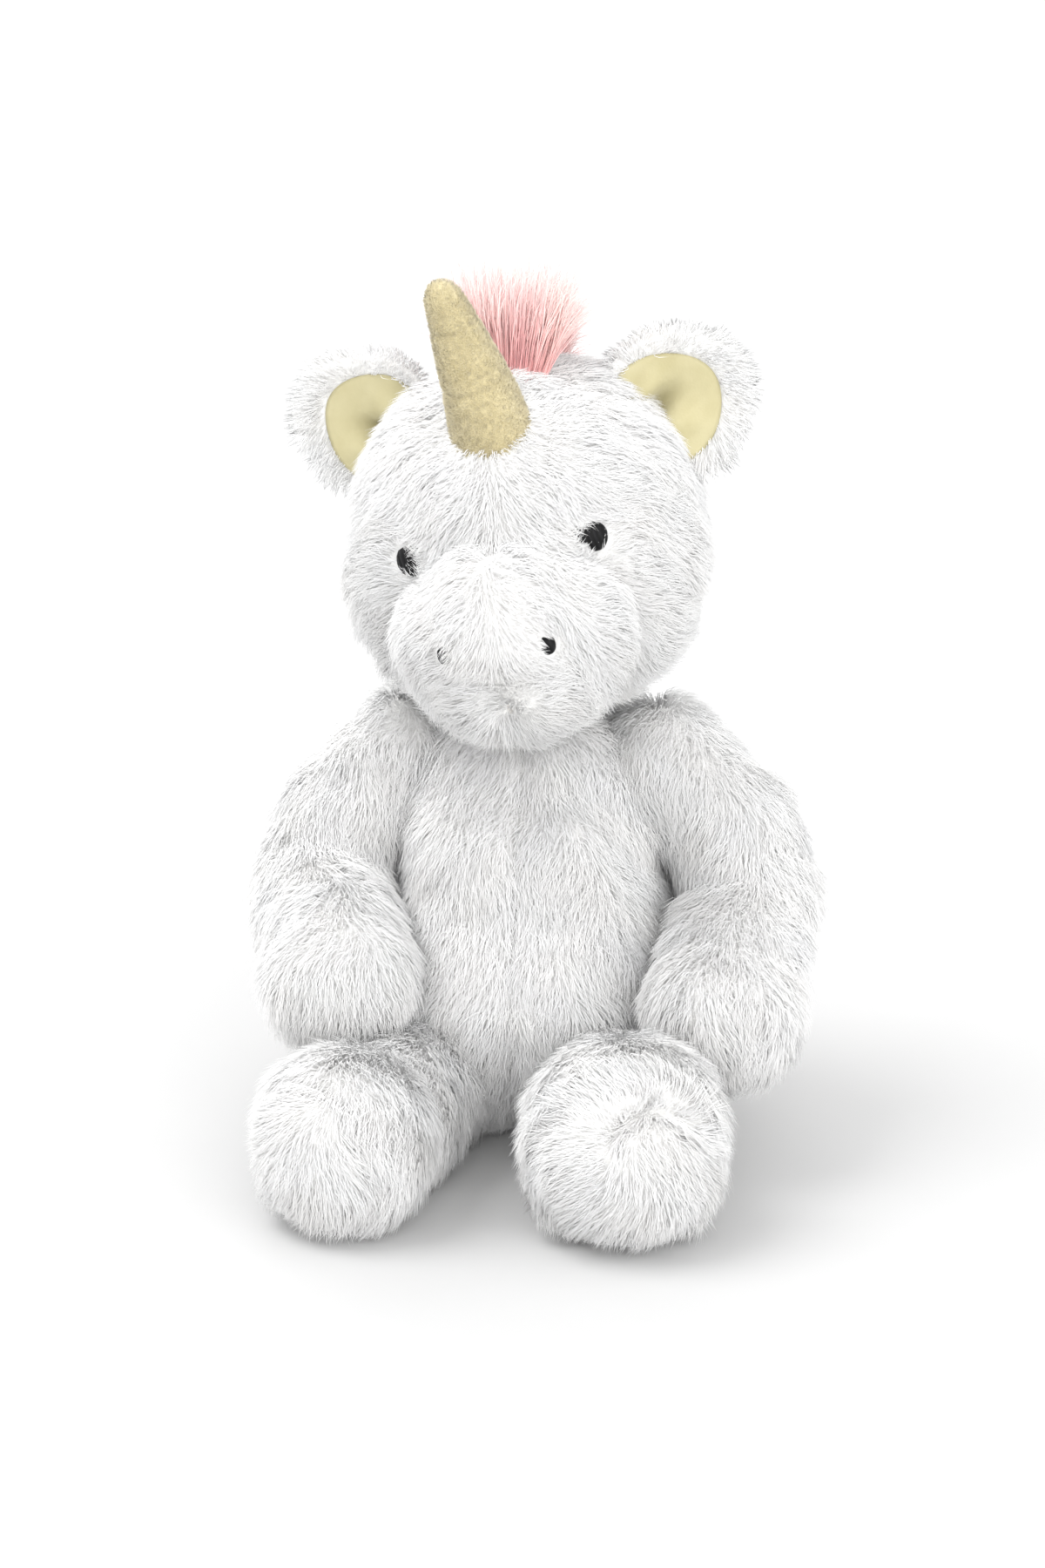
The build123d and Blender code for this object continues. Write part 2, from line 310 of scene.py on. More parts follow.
def stuffed(points, quads, held):
    """Blows the cloth up from inside, held along its seams, as pushing fibre in does."""
    blank = make_mesh("blank", points * WORK_SCALE, quads)
    seams = blank.vertex_groups.new(name="seams")
    for i in np.flatnonzero(held > 0.05):
        seams.add([int(i)], float(held[i]), "REPLACE")
    cloth_ = blank.modifiers.new("stuff", "CLOTH")
    feel = cloth_.settings
    feel.quality = 4
    feel.mass = 0.3
    feel.tension_stiffness = feel.compression_stiffness = 5
    feel.shear_stiffness = 2.5
    feel.bending_stiffness = 1.0
    feel.use_pressure = True
    feel.uniform_pressure_force = 4
    feel.shrink_min = -0.035
    feel.vertex_group_mass = "seams"
    feel.pin_stiffness = 1.0
    feel.effector_weights.gravity = 0
    cloth_.collision_settings.use_collision = False
    cloth_.collision_settings.use_self_collision = False
    cloth_.point_cache.frame_start = 1
    cloth_.point_cache.frame_end = STUFF_FRAMES
    for frame_number in range(1, STUFF_FRAMES + 1):
        bpy.context.scene.frame_set(frame_number)
    result = blank.evaluated_get(bpy.context.evaluated_depsgraph_get()).data
    filled = np.empty(len(result.vertices) * 3)
    result.vertices.foreach_get("co", filled)
    filled = filled.reshape(-1, 3) / MM / WORK_SCALE
    bpy.data.objects.remove(blank)
    bpy.context.scene.frame_set(1)
    move = filled - points
    far = np.linalg.norm(move, axis=1, keepdims=True)
    move *= np.minimum(1, MOST_PUFF / np.maximum(far, 1e-6))
    for _ in range(EVENING):
        move = evened(move, quads)
    out = points + move
    out[:, 2] = np.maximum(out[:, 2], FLOOR_GAP)
    return out


def skin(field, low, high, seams):
    """A stuffed skin: its points, quads and outward normals. seams gives distances to the seams."""
    points, quads = surface(lambda p: field(p) + SLACK, low, high)
    held = np.clip(1.6 - seams(points) / 1.4, 0, 1)
    points = stuffed(points, quads, held)
    corners = points[quads]
    facing = np.cross(corners[:, 2] - corners[:, 0], corners[:, 3] - corners[:, 1])
    normals = np.zeros_like(points)
    for k in range(4):
        np.add.at(normals, quads[:, k], facing)
    return points, quads, unit(normals)


def filling(node, body, field, low, high, inset=3.0):
    """The fibre inside a sewn part: the part's own shape, drawn in under the cloth."""
    points, quads = surface(lambda p: field(p) + inset, low, high, 3.4)
    piece = make_mesh(f"{node}_fibre", points, quads, FIBRE)
    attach(piece, body)
    stands_for(piece, node)


# --- pile ---------------------------------------------------------------------------
MOST_STRANDS = 21500    # keeps each piece of pile under 200,000 triangles


def scatter(points, quads, keep, normals, per_cm2, random):
    """Roots spread evenly over some quads, with their normals."""
    q = quads[keep]
    triangles = np.concatenate([q[:, [0, 1, 2]], q[:, [0, 2, 3]]])
    a, b, c = (points[triangles[:, i]] for i in range(3))
    area = np.linalg.norm(np.cross(b - a, c - a), axis=1) / 2
    count = min(int(area.sum() / 100 * per_cm2), MOST_STRANDS)
    pick = random.choice(len(area), size=count, p=area / area.sum())
    u, v = np.sqrt(random.random(count)), random.random(count)
    weights = np.stack([1 - u, u * (1 - v), u * v], 1)
    chosen = triangles[pick]
    roots = (points[chosen] * weights[:, :, None]).sum(1)
    return roots, unit((normals[chosen] * weights[:, :, None]).sum(1))


def nearest(seeds, points):
    tree = KDTree(len(seeds))
    for i, s in enumerate(seeds):
        tree.insert(s, i)
    tree.balance()
    return np.fromiter((tree.find(p)[1] for p in points), dtype=np.int64, count=len(points))


def grow(name, parent, roots, normals, along, length, random, look):
    """Pile as tapered three-sided strands, bent over towards along and gathered into tufts."""
    n = len(roots)
    lift = look["lift"] * random.uniform(0.75, 1.25, n)
    along = unit(along - (along * normals).sum(1, keepdims=True) * normals)
    twist = look["stray"] * random.normal(size=n)
    across = np.cross(normals, along)
    along = along * np.cos(twist)[:, None] + across * np.sin(twist)[:, None]
    length = length * random.uniform(0.75, 1.12, n)
    rings = look["rings"]
    steps = np.linspace(0, 1, rings + 1)
    lines = []
    for t in steps:
        up = length * lift * (1.75 * t - 0.75 * t * t)
        out = length * np.sqrt(np.maximum(1 - lift**2, 0.05)) * (0.55 * t + 0.45 * t * t)
        at = roots + normals * up[:, None] + along * out[:, None]
        at = at + np.array((0, 0, -1.0)) * (length * look["droop"] * t * t)[:, None]
        lines.append(at)
    lines = np.stack(lines, 1)
    wave = look.get("wave", 0.0)
    if wave:
        swing = np.sin(steps * 2.6 * math.pi + random.uniform(0, 6.3, (n, 1))) * steps
        lines += across[:, None] * (swing * wave * random.uniform(0.4, 1, (n, 1)))[:, :, None]
    if n > 40:
        seeds = random.choice(n, size=max(n // look["tuft"], 4), replace=False)
        mine = seeds[nearest(roots[seeds], roots)]
        pull = (look["gather"] * steps**1.5)[None, :, None] * random.uniform(0.55, 1, (n, 1, 1))
        shift = lines[mine] - lines
        far = np.linalg.norm(shift, axis=2, keepdims=True)
        shift *= np.minimum(1, look["reach"] / np.maximum(far, 1e-6))
        lines = lines + shift * pull
    lines[:, 0] -= normals * 0.4
    lines[:, :, 2] = np.maximum(lines[:, :, 2], FLOOR_GAP + 0.3 * random.random((n, 1)))
    strands(name, parent, lines, normals, look, random)
    return lines


def strands(name, parent, lines, normals, look, random):
    """Builds the strands' mesh from their centre lines."""
    n, stops = lines.shape[:2]
    rings = stops - 1
    ahead = np.empty_like(lines)
    ahead[:, :-1] = lines[:, 1:] - lines[:, :-1]
    ahead[:, -1] = ahead[:, -2]
    ahead = unit(ahead)
    side = unit(np.cross(ahead, normals[:, None] + 0.01))
    top = np.cross(side, ahead)
    radius = look["radius"] * random.uniform(0.75, 1.2, n)
    angles = np.radians((90, 210, 330))
    out = side[:, :, None] * np.cos(angles)[:, None] + top[:, :, None] * np.sin(angles)[:, None]
    taper = 1 - 0.55 * (np.arange(rings) / max(rings, 1)) ** 1.5
    ring_points = lines[:, :rings, None] + out[:, :rings] * (radius[:, None] * taper)[:, :, None, None]
    points = np.concatenate([ring_points.reshape(n, rings * 3, 3), lines[:, -1:]], axis=1)
    per = rings * 3 + 1
    quads, caps = [], []
    for r in range(rings - 1):
        for k in range(3):
            low, next_low = 3 * r + k, 3 * r + (k + 1) % 3
            quads.append((low, low + 3, next_low + 3, next_low))
    for k in range(3):
        caps.append((3 * (rings - 1) + k, per - 1, 3 * (rings - 1) + (k + 1) % 3))
    loops_one = np.concatenate([np.array(quads).ravel(), np.array(caps).ravel()]).astype(np.int64)
    totals_one = np.array([4] * len(quads) + [3] * len(caps))
    loops = (loops_one[None] + (np.arange(n) * per)[:, None]).ravel()
    totals = np.tile(totals_one, n)
    starts = np.concatenate([[0], np.cumsum(totals)[:-1]])
    mesh = bpy.data.meshes.new(name)
    mesh.vertices.add(n * per)
    mesh.vertices.foreach_set("co", (points * MM).astype(np.float32).ravel())
    mesh.loops.add(len(loops))
    mesh.loops.foreach_set("vertex_index", loops.astype(np.int32))
    mesh.polygons.add(len(totals))
    mesh.polygons.foreach_set("loop_start", starts.astype(np.int32))
    mesh.update(calc_edges=True)
    mesh.polygons.foreach_set("use_smooth", np.ones(len(totals), bool))
    tint = np.clip(look["tint"](lines[:, 0]) * 0.3 + 0.5 + random.normal(size=n) * 0.12, 0.02, 0.98)
    heights = np.concatenate([np.repeat(np.linspace(0, 1, rings + 1)[:-1], 3), [1.0]])
    uv = np.stack([np.repeat(tint, per), np.tile(heights, n)], 1)
    layer = mesh.uv_layers.new(name="OFBake")
    layer.data.foreach_set("uv", uv[loops].astype(np.float32).ravel())
    radial = points - np.concatenate([np.repeat(lines[:, :rings], 3, axis=1), lines[:, -1:]], axis=1)
    from_cloth = np.repeat(normals, per, axis=0) * look["soft"]
    soft = unit(from_cloth + unit(radial.reshape(-1, 3)) * (1 - look["soft"]))
    mesh.normals_split_custom_set_from_vertices(soft.astype(np.float32))
    piece = bpy.data.objects.new(name, mesh)
    bpy.context.scene.collection.objects.link(piece)
    piece.data.materials.append(look["material"])
    piece.parent = parent
    piece.matrix_parent_inverse = parent.matrix_world.inverted()
    return piece


# --- materials ----------------------------------------------------------------------
def material(name):
    m = bpy.data.materials.new(name)
    m.use_nodes = True
    nodes = m.node_tree.nodes
    return m, nodes, m.node_tree.links, nodes["Principled BSDF"]


def ramp(nodes, stops):
    node = nodes.new("ShaderNodeValToRGB")
    elements = node.color_ramp.elements
    while len(elements) < len(stops):
        elements.new(0.5)
    for element, (at, colour) in zip(elements, stops):
        element.position = at
        element.color = (*colour, 1)
    return node


def pile_material(name, root, middle, tip, cool, warm, sheen=0.25):
    """Colour changes from root to tip, and a little from tuft to tuft."""
    m, nodes, links, shader = material(name)
    uv = nodes.new("ShaderNodeUVMap")
    uv.uv_map = "OFBake"
    split = nodes.new("ShaderNodeSeparateXYZ")
    links.new(uv.outputs[0], split.inputs[0])
    height = ramp(nodes, [(0.0, root), (0.45, middle), (1.0, tip)])
    links.new(split.outputs[1], height.inputs[0])
    shade = ramp(nodes, [(0.0, cool), (0.5, (1, 1, 1)), (1.0, warm)])
    links.new(split.outputs[0], shade.inputs[0])
    mix = nodes.new("ShaderNodeMix")
    mix.data_type = "RGBA"
    mix.blend_type = "MULTIPLY"
    mix.inputs[0].default_value = 1.0
    links.new(height.outputs[0], mix.inputs[6])
    links.new(shade.outputs[0], mix.inputs[7])
    links.new(mix.outputs[2], shader.inputs["Base Color"])
    shader.inputs["Roughness"].default_value = 0.75
    shader.inputs["Specular IOR Level"].default_value = 0.25
    shader.inputs["Sheen Weight"].default_value = sheen
    shader.inputs["Sheen Roughness"].default_value = 0.5
    return m


def cloth_material(name, light, dark, scale, bump=0.35, roughness=0.9, sheen=0.2):
    """Knitted or woven backing: fine loops in bump, with mottled colour."""
    m, nodes, links, shader = material(name)
    place = nodes.new("ShaderNodeTexCoord")
    mottle = nodes.new("ShaderNodeTexNoise")
    mottle.inputs["Scale"].default_value = scale * 0.08
    mottle.inputs["Detail"].default_value = 5
    links.new(place.outputs["Object"], mottle.inputs["Vector"])
    colour = ramp(nodes, [(0.3, dark), (0.7, light)])
    links.new(mottle.outputs[0], colour.inputs[0])
    links.new(colour.outputs[0], shader.inputs["Base Color"])
    loops = nodes.new("ShaderNodeTexVoronoi")
    loops.inputs["Scale"].default_value = scale
    links.new(place.outputs["Object"], loops.inputs["Vector"])
    height = nodes.new("ShaderNodeBump")
    height.inputs["Strength"].default_value = bump
    height.inputs["Distance"].default_value = 0.0005
    links.new(loops.outputs["Distance"], height.inputs["Height"])
    links.new(height.outputs[0], shader.inputs["Normal"])
    shader.inputs["Roughness"].default_value = roughness
    shader.inputs["Specular IOR Level"].default_value = 0.25
    shader.inputs["Sheen Weight"].default_value = sheen
    return m


def thread_material(name, light, dark, roughness, turn=0.0, scale=1500.0):
    """Satin stitch: close parallel threads."""
    m, nodes, links, shader = material(name)
    place = nodes.new("ShaderNodeTexCoord")
    turned = nodes.new("ShaderNodeMapping")
    turned.inputs["Rotation"].default_value = (0, turn, 0)
    links.new(place.outputs["Object"], turned.inputs["Vector"])
    wave = nodes.new("ShaderNodeTexWave")
    wave.inputs["Scale"].default_value = scale / 6.28
    wave.inputs["Distortion"].default_value = 1.2
    wave.inputs["Detail"].default_value = 2
    links.new(turned.outputs[0], wave.inputs["Vector"])
    # The thread's colour darkens in the grooves between threads, on the same waves as the bump: painted shade.
    colour = ramp(nodes, [(0.2, dark), (0.8, light)])
    links.new(wave.outputs[0], colour.inputs[0])
    links.new(colour.outputs[0], shader.inputs["Base Color"])
    bump = nodes.new("ShaderNodeBump")
    bump.inputs["Strength"].default_value = 0.6
    bump.inputs["Distance"].default_value = 0.0003
    links.new(wave.outputs[0], bump.inputs["Height"])
    links.new(bump.outputs[0], shader.inputs["Normal"])
    shader.inputs["Roughness"].default_value = roughness
    shader.inputs["Specular IOR Level"].default_value = 0.2
    return m


# Pile: colours at the root, the middle and the tip, then cool and warm tints for the tufts.
# In the white pile the darker root colour is painted shade deep in the pile; the strands' own shadows add to it.
WHITE_PILE = pile_material(
    "white_pile", (0.94, 0.935, 0.925), (0.96, 0.957, 0.95), (0.97, 0.97, 0.967),
    (0.975, 0.98, 0.99), (1, 0.993, 0.985),
)
WHITE_KNIT = cloth_material("white_knit", (0.90, 0.895, 0.88), (0.85, 0.845, 0.83), 900.0)
PINK_PILE = pile_material(
    "pink_pile", (0.82, 0.38, 0.38), (0.95, 0.64, 0.62), (0.98, 0.89, 0.87),
    (1, 0.84, 0.86), (1, 1, 0.97), sheen=0.3,
)
PINK_KNIT = cloth_material("pink_knit", (0.84, 0.44, 0.44), (0.72, 0.33, 0.34), 900.0)
GOLD_VELOUR = cloth_material(
    "gold_velour", (0.70, 0.61, 0.37), (0.58, 0.50, 0.29), 2200.0, bump=0.5, roughness=0.85, sheen=0.6
)
GOLD_FUZZ = pile_material(
    "gold_fuzz", (0.58, 0.50, 0.28), (0.70, 0.61, 0.38), (0.79, 0.71, 0.49),
    (0.74, 0.73, 0.74), (1, 0.99, 0.95), sheen=0.3,
)
BLACK_THREAD = thread_material("black_thread", (0.007, 0.007, 0.008), (0.002, 0.002, 0.002), 0.5, 0.35)
WHITE_THREAD = thread_material("white_thread", (0.80, 0.77, 0.73), (0.60, 0.57, 0.53), 0.6)
CREAM_SATIN = cloth_material(
    "cream_satin", (0.57, 0.52, 0.315), (0.50, 0.45, 0.255), 1600.0, bump=0.10, roughness=0.55, sheen=0.25
)
FIBRE = cloth_material("fibre_fill", (0.88, 0.88, 0.88), (0.74, 0.74, 0.75), 300.0, 0.9)


def slot_materials():
    """The pieces inside keep their CAD shape, and get the look of fibre, cotton, beads or ribbon."""
    looks = {
        "polyester_fill": FIBRE,
        "lining_cotton": cloth_material("cotton_pouch", (0.80, 0.78, 0.72), (0.70, 0.68, 0.62), 1400.0),
        "pellets": cloth_material(
            "bead_fill", (0.85, 0.85, 0.84), (0.55, 0.55, 0.55), 400.0, bump=1.0, roughness=0.4, sheen=0.0
        ),
        "label_ribbon": cloth_material("label_ribbon", (0.90, 0.90, 0.88), (0.80, 0.80, 0.78), 1800.0),
        "white_thread": WHITE_THREAD,
        "pink_backing": PINK_KNIT,
    }
    for name, node in frame["nodes"].items():
        if SLOTS.get(name) in looks:
            for place in node.material_slots:
                place.material = looks[SLOTS[name]]


DOWN = np.array((0.0, 0.0, -1.0))
TUFTS = Ripple(11, 16.0)
DRIFT = Ripple(12, 26.0)
LENGTHS = Ripple(13, 13.0)
PER_CM2 = 265.0
LIMB_PILE = 8.6         # length of the pile on the body, arms and legs
UNDERSIDE = -0.93       # cloth that faces down more than this has no pile
# lift and droop bend a strand; tuft is how many gather, from up to reach mm away; soft is how
# much of a strand's shading follows the cloth.
WHITE_LOOK = {
    "lift": 0.56, "stray": 0.36, "droop": 0.12, "rings": 2, "tuft": 11, "gather": 0.55, "reach": 2.2,
    "radius": 0.112, "soft": 0.88, "tint": TUFTS, "material": WHITE_PILE, "slot": "white_plush",
}


def swirl(points, normals, along, amount=0.5):
    """Turns the combing direction a little, in patches."""
    along = unit(along - (along * normals).sum(1, keepdims=True) * normals)
    angle = amount * DRIFT(points)
    return along * np.cos(angle)[:, None] + np.cross(normals, along) * np.sin(angle)[:, None]


def pile(name, parent, shape, keep, seed, comb, length, per_cm2=PER_CM2, thin=None, **changes):
    """White pile on some quads of a shape; comb and length are functions of the roots."""
    points, quads, normals = shape
    random = np.random.default_rng(seed)
    roots, up = scatter(points, quads, keep, normals, per_cm2, random)
    if thin is not None:
        stay = random.random(len(roots)) < thin(roots)
        roots, up = roots[stay], up[stay]
    along = swirl(roots, up, comb(roots))
    longs = length(roots) * (1 + 0.16 * LENGTHS(roots))
    grow(name, parent, roots, up, along, longs, random, {**WHITE_LOOK, **changes})


# --- torso --------------------------------------------------------------------------
def torso():
    low, high = (-52, -50, -4), (52, 50, 124)

    def seams(p):
        return np.minimum(abs(p[:, 0]), abs(p[:, 1]))

    points, quads, normals = skin(torso_field, low, high, seams)
    filling("torso_stuffing", "torso", torso_field, low, high)
    middle = points[quads].mean(axis=1)

    def comb(p):
        aside = np.zeros_like(p)
        aside[:, 0] = np.sign(p[:, 0]) * np.exp(-(p[:, 0] / 6) ** 2) * 0.22
        return DOWN + aside

    def length(p):
        parting = 1 - 0.38 * np.exp(-(p[:, 0] / 2.2) ** 2)
        return LIMB_PILE * parting * (0.65 + 0.35 * smooth_step(1, 14, p[:, 2]))

    seed = 100
    for half, where in (("belly", middle[:, 1] < 0), ("back", middle[:, 1] >= 0)):
        for side, s in SIDES.items():
            keep = where & (middle[:, 0] * s > 0)
            name = f"{half}_panel_{side}"
            piece = cloth(f"{name}_cloth", name, "torso", points, quads, keep, WHITE_KNIT)
            furry = keep & (normals[quads[:, 0]][:, 2] > UNDERSIDE)
            pile(f"{name}_pile", piece, (points, quads, normals), furry, seed, comb, length)
            seed += 1


# --- head ---------------------------------------------------------------------------
def head_comb(p):
    """Down and outwards over the face, away from the pinch of the mouth, and up around the eyes."""
    q = to_head(p)
    flow = np.stack([q[:, 0] / 20, np.full(len(q), 0.3), np.full(len(q), -0.9)], 1)
    near_mouth = np.exp(-(np.linalg.norm(q - MOUTH_AT, axis=1) / 14) ** 2)[:, None]
    flow = flow * (1 - near_mouth) + unit(q - MOUTH_AT) * near_mouth * 2.0
    for side, spot in EYE_AT.items():
        near_eye = np.exp(-(np.linalg.norm(q - spot, axis=1) / 8.5) ** 2)[:, None]
        flow = flow * (1 - near_eye) + np.array((SIDES[side] * 0.25, 0.2, 1.0)) * near_eye * 1.4
    return flow @ HEAD.T


def head_length(p):
    q = to_head(p)
    muzzle = np.exp(-(np.linalg.norm(q - np.array((0, -58, -10)), axis=1) / 24) ** 2)
    size = 8.0 - 2.2 * muzzle
    for spot, near, share in (
        (EYE_AT["left"], 8.0, 0.5), (EYE_AT["right"], 8.0, 0.5),
        (NOSTRIL_AT["left"], 5.5, 0.5), (NOSTRIL_AT["right"], 5.5, 0.5),
    ):
        size = size * (1 - share * np.exp(-(np.linalg.norm(q - spot, axis=1) / near) ** 2))
    horn = np.linalg.norm(q - HORN_ROOT, axis=1)
    return size * (0.55 + 0.45 * smooth_step(9, 17, horn))


BARE = (                # places without pile, and their radii
    (EYE_AT["left"] + (1.4, 0, 3.0), 4.9), (EYE_AT["right"] + (-2.4, 0, 0.5), 4.7),
    (NOSTRIL_AT["left"], 2.9), (NOSTRIL_AT["right"] + (-0.6, 0, 0.6), 2.9),
)


def head_thin(p):
    """No pile over the embroidery or under the horn."""
    q = to_head(p)
    bare = np.linalg.norm(q - HORN_ROOT, axis=1) > 8.5
    for spot, size in BARE:
        bare = bare & (np.linalg.norm(q - spot, axis=1) > size)
    return bare


def head_seams(p):
    """Distance to the chin seam, and above it to the two seams beside the forehead gusset."""
    q = to_head(p)
    chin = abs(q[:, 2] - CHIN_TOP)
    beside = abs(abs(q[:, 0]) - GUSSET_HALF) + ELSEWHERE * (q[:, 2] < CHIN_TOP)
    return np.minimum(chin, beside)


def head():
    low, high = from_head(np.zeros((1, 3)))[0] - 74, from_head(np.zeros((1, 3)))[0] + 54
    points, quads, normals = skin(head_field, low, high, head_seams)
    filling("head_stuffing", "head", head_field, low, high)
    middle = to_head(points[quads].mean(axis=1))
    chin = middle[:, 2] < CHIN_TOP
    gusset = ~chin & (abs(middle[:, 0]) < GUSSET_HALF)
    panels = {
        "chin_panel": chin,
        "forehead_gusset": gusset,
        "head_side_left": ~chin & ~gusset & (middle[:, 0] > 0),
        "head_side_right": ~chin & ~gusset & (middle[:, 0] < 0),
    }
    for i, (name, keep) in enumerate(panels.items()):
        piece = cloth(f"{name}_cloth", name, "head", points, quads, keep, WHITE_KNIT)
        shape = points, quads, normals
        pile(f"{name}_pile", piece, shape, keep, 200 + i, head_comb, head_length, thin=head_thin)
    return BVHTree.FromPolygons([Vector(p) for p in points], [tuple(map(int, q)) for q in quads])


def on_skin(tree, target):
    """The point of the head's cloth that is nearest to a place in the head's frame."""
    at, normal, _, _ = tree.find_nearest(Vector(from_head(target)))
    return np.array(at), np.array(normal)


def pad(name, node, tree, target, across, height, rise, look, notch=(0.0, 0.0), sink=0.3):
    """A low oval dome of satin stitch on the cloth; notch is how deep and towards where it is bitten."""
    at, normal = on_skin(tree, target)
    up = HEAD @ np.array((0, 0, 1.0))
    right = unit(np.cross(up, normal))
    up = np.cross(normal, right)
    rings, around = 7, 28
    points, faces = [at + normal * (rise - sink)], []
    for r in range(1, rings + 1):
        share = r / rings
        for k in range(around):
            a = 2 * math.pi * k / around
            lid = 1 - 0.16 * max(math.sin(a), 0) ** 2
            away = math.degrees(math.acos(math.cos(a - math.radians(notch[1]))))
            size = share * (1 - notch[0] * math.exp(-((away / 48) ** 2)))
            flat = right * math.cos(a) * across * size + up * math.sin(a) * height * size * lid
            on, skin_normal, _, _ = tree.find_nearest(Vector(at + flat))
            lift = rise * math.sqrt(max(1 - share**2.6, 0)) - sink
            points.append(np.array(on) + np.array(skin_normal) * lift)
    for k in range(around):
        faces.append((0, 1 + k, 1 + (k + 1) % around))
    for r in range(rings - 1):
        for k in range(around):
            a, b = 1 + r * around + k, 1 + r * around + (k + 1) % around
            faces.append((a, a + around, b + around, b))
    piece = make_mesh(name, points, faces, look)
    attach(piece, "head")
    stands_for(piece, node)


def face(tree):
    for side, across, height, raised, notch in (
        ("left", 5.3, 5.0, 1.6, (0.62, 228.0)), ("right", 4.6, 4.8, 0.4, (0.35, 0.0)),
    ):
        eye = EYE_AT[side] + (0, 0, raised)
        pad(f"eye_{side}_stitching", f"eye_{side}", tree, eye, across, height, 3.1, BLACK_THREAD, notch)
        nostril = NOSTRIL_AT[side]
        pad(f"nostril_{side}_stitching", f"nostril_{side}", tree, nostril, 2.2, 2.8, 1.9, BLACK_THREAD)
    pad("mouth_pinch", "mouth_stitch", tree, MOUTH_AT, 0.7, 2.6, 0.7, WHITE_THREAD)


# --- arms and legs ------------------------------------------------------------------
def arms():
    for side, s in SIDES.items():
        field = arm_field(side)
        balls = ARMS[side]
        centres = np.array([c for c, _ in balls])
        low, high = centres.min(0) - 23, centres.max(0) + 23
        elbow = balls[2][0][0]

        def seams(p, s=s, elbow=elbow):
            return abs((p[:, 0] - elbow) * s + 2)

        points, quads, normals = skin(field, low, high, seams)
        filling(f"arm_stuffing_{side}", f"arm_{side}", field, low, high)
        middle = points[quads].mean(axis=1)
        outer = (middle[:, 0] - elbow) * s > -2
        tip = np.array(balls[-1][0])

        def comb(p, tip=tip, s=s):
            along = unit(tip + np.array((s * 2, -6, -16)) - p)
            return along * 0.9 + DOWN * 0.8

        def length(p):
            return np.full(len(p), LIMB_PILE)

        for i, (kind, keep) in enumerate((("outer", outer), ("inner", ~outer))):
            name = f"arm_{kind}_panel_{side}"
            piece = cloth(f"{name}_cloth", name, f"arm_{side}", points, quads, keep, WHITE_KNIT)
            seed = 300 + 10 * s + i
            pile(f"{name}_pile", piece, (points, quads, normals), keep, seed, comb, length)


def legs():
    for side, s in SIDES.items():
        field = leg_field(side)
        centres = np.array([c for c, _ in LEGS[side]])
        low, high = centres.min(0) - 28, centres.max(0) + 28

        def seams(p, side=side):
            ahead = sole_place(p, side)[0] - SOLE_FROM[side]
            return np.minimum(abs(ahead), abs(p[:, 2] - LEG_SEAM) + ELSEWHERE * (ahead > 0))

        points, quads, normals = skin(field, low, high, seams)
        filling(f"leg_stuffing_{side}", f"leg_{side}", field, low, high)
        middle = points[quads].mean(axis=1)
        ahead, across, up = sole_place(middle, side)
        sole = ahead > SOLE_FROM[side]
        top = ~sole & (middle[:, 2] > LEG_SEAM)

        def comb(p, s=s, side=side):
            ahead, across, up = sole_place(p, side)
            turn = s * FEET[side][1]
            to_left = np.array((math.cos(turn), math.sin(turn), 0))
            front = smooth_step(0, 13, ahead)[:, None]
            middle, above, radius = DIMPLE
            u, v = across - middle, up - above
            outside = (np.hypot(u, v) > radius) & (side == "left")
            rise = np.where(outside, v / radius, -0.9)
            radial = (u / 14)[:, None] * to_left + rise[:, None] * np.array((0, 0, 1.0))
            down_leg = np.array((s * 0.25, -1.0, -0.5))
            return radial * front + down_leg * (1 - front) + DOWN * 0.2

        def length(p, side=side):
            front = smooth_step(8, 20, sole_place(p, side)[0])
            return (LIMB_PILE - 1.2 * front) * (0.6 + 0.4 * smooth_step(0.5, 12, p[:, 2]))

        kinds = (("foot_sole", sole), ("leg_top_panel", top), ("leg_under_panel", ~sole & ~top))
        for i, (kind, keep) in enumerate(kinds):
            name = f"{kind}_{side}"
            piece = cloth(f"{name}_cloth", name, f"leg_{side}", points, quads, keep, WHITE_KNIT)
            furry = keep & (normals[quads[:, 0]][:, 2] > UNDERSIDE)
            seed = 400 + 10 * s + i
            shape = points, quads, normals
            pile(f"{name}_pile", piece, shape, furry, seed, comb, length, slot=SLOTS[name])


# --- ears ---------------------------------------------------------------------------
EAR_REACH = 29.0        # how far the cloth of the ear stands out from the head
EAR_HALF = 18.0         # half the length of its sewn edge
EAR_THICK = 3.2
LINING_REACH = 21.8
LINING_HALF = 14.6
EAR_RAISE = np.array((0, 0, 3.4))


def ear_frame(side):
    """Middle of the sewn edge, and the ways outwards, along that edge and to the back."""
    joint = JOINTS[f"ear_fold_{side}"]
    root = joint_at(f"ear_fold_{side}")
    hinge = unit(np.array(joint["axis"], float))
    outward = unit(root - HEAD_CENTRE)
    outward = unit(outward - (outward @ hinge) * hinge)
    back = np.cross(hinge, outward)
    if back[1] < 0:
        back = -back
    return root - outward * 1.5 + EAR_RAISE, outward, unit(np.cross(back, outward)), back


def ear_depth(x, w):
    """Depth of the ear's front towards the back: a shallow cup, pinched where it is sewn on."""
    cup = 3.4 * (1 - np.hypot((x - 10) / 17, w / 16) ** 2)
    near_root = smooth_step(15, 1, x)
    fold = np.exp(-(((w + 1.0 + 0.12 * x) / 2.6) ** 2)) * 8.0
    lips = np.exp(-(((abs(w + 0.5) - 6.5) / 3.6) ** 2)) * 2.2
    pleats = 0.45 * np.cos(7.0 * np.arctan2(w + 1.0, x + 4.0)) * smooth_step(20, 5, x) * smooth_step(0, 4, x)
    return cup + near_root * (fold - lips) + pleats


